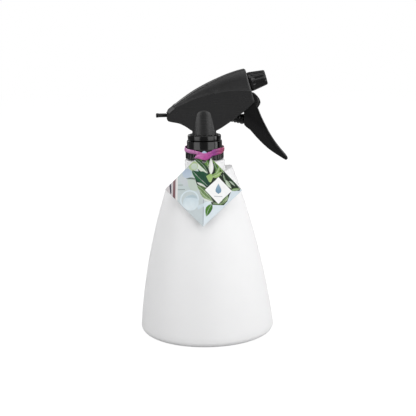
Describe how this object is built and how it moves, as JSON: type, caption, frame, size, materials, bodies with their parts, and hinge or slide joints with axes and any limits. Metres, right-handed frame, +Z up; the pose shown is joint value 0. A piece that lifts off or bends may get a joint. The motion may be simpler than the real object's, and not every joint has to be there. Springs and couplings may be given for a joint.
{
  "type": "hand mister",
  "caption": "Plant mister: tapered white bottle with slanted shoulder, screw collar, trigger pump head, adjustable nozzle and a card hang tag on a rubber band.",
  "frame": {"origin": "middle of the bottle's base, on the surface it stands on", "axes": "+Z up along the neck, +X the way it sprays, +Y across the head"},
  "size_m": [0.1342, 0.1208, 0.2352],
  "materials": {
    "bottle_white": "satin blow-moulded polyethylene",
    "black_gloss": "glossy moulded polypropylene",
    "grey_matte": "fine matte moulded shell",
    "black_rod": "moulded, ribbed",
    "natural_plastic": "natural milky plastic",
    "clear_tube": "translucent extruded tube",
    "soft_seal": "smooth moulded elastomer",
    "steel": "bright stainless",
    "pink_rubber": "translucent elastic",
    "printed_card": "glossy printed card, folded"
  },
  "bodies": {
    "bottle": {"bottle": "bottle_white"},
    "head": {"pump_body": "natural_plastic", "neck_gasket": "soft_seal", "retaining_ring": "black_gloss", "shroud": "grey_matte", "tail_pin": "black_gloss", "dip_tube": "clear_tube", "valve_seat": "natural_plastic", "spout": "natural_plastic", "trigger_pin": "natural_plastic", "swirl_core": "natural_plastic", "outlet_spring": "steel", "return_spring": "steel", "rubber_band": "pink_rubber"},
    "collar": {"collar": "black_gloss"},
    "trigger": {"trigger": "black_gloss"},
    "piston": {"piston": "black_rod", "piston_seal": "soft_seal"},
    "nozzle_seal": {"nozzle_seal": "soft_seal"},
    "nozzle": {"nozzle_cap": "black_gloss"},
    "inlet_ball": {"inlet_ball": "steel"},
    "outlet_ball": {"outlet_ball": "steel"},
    "tag": {"hang_tag": "printed_card"}
  },
  "joints": [
    {"name": "head_lift", "type": "slide", "parent": "bottle", "child": "head", "axis": [0, 0, 1], "range_m": [0, 0.00423]},
    {"name": "collar_turn", "type": "hinge", "parent": "head", "child": "collar", "pos_m": [0, 0, 0.165], "axis": [0, 0, 1], "range_deg": [0, 360]},
    {"name": "trigger_squeeze", "type": "hinge", "parent": "head", "child": "trigger", "pos_m": [0.0425, 0, 0.209], "axis": [0, 1, 0], "range_deg": [0, 24], "stiffness_Nm_per_rad": 0.6, "springref_deg": -22.92},
    {"name": "piston_slide", "type": "slide", "parent": "head", "child": "piston", "axis": [-0.9744, 0, 0.225], "range_m": [0, 0.0078], "deforming": ["return_spring"]},
    {"name": "nozzle_out", "type": "slide", "parent": "head", "child": "nozzle_seal", "axis": [0.9629, 0, 0.2698], "range_m": [0, 0.0025]},
    {"name": "nozzle_turn", "type": "hinge", "parent": "nozzle_seal", "child": "nozzle", "pos_m": [0.04085, 0, 0.22385], "axis": [0.9629, 0, 0.2698], "range_deg": [0, 450]},
    {"name": "inlet_ball_lift", "type": "slide", "parent": "head", "child": "inlet_ball", "axis": [0, 0, 1], "range_m": [0, 0.0011]},
    {"name": "outlet_ball_lift", "type": "slide", "parent": "head", "child": "outlet_ball", "axis": [0.9629, 0, 0.2698], "range_m": [0, 0.0006], "stiffness_N_per_m": 40, "springref_m": -0.0008, "deforming": ["outlet_spring"]},
    {"name": "tag_swing", "type": "hinge", "parent": "head", "child": "tag", "pos_m": [0, -0.0196, 0.1655], "axis": [-1, 0, 0], "range_deg": [0, 70], "deforming": ["rubber_band"]}
  ],
  "couplings": [
    {"joint": "collar_turn", "follows": "head_lift", "rad_per_m": 1484.3},
    {"joint": "piston_slide", "follows": "trigger_squeeze", "m_per_rad": 0.018382},
    {"joint": "nozzle_turn", "follows": "nozzle_out", "rad_per_m": 3141.6}
  ]
}
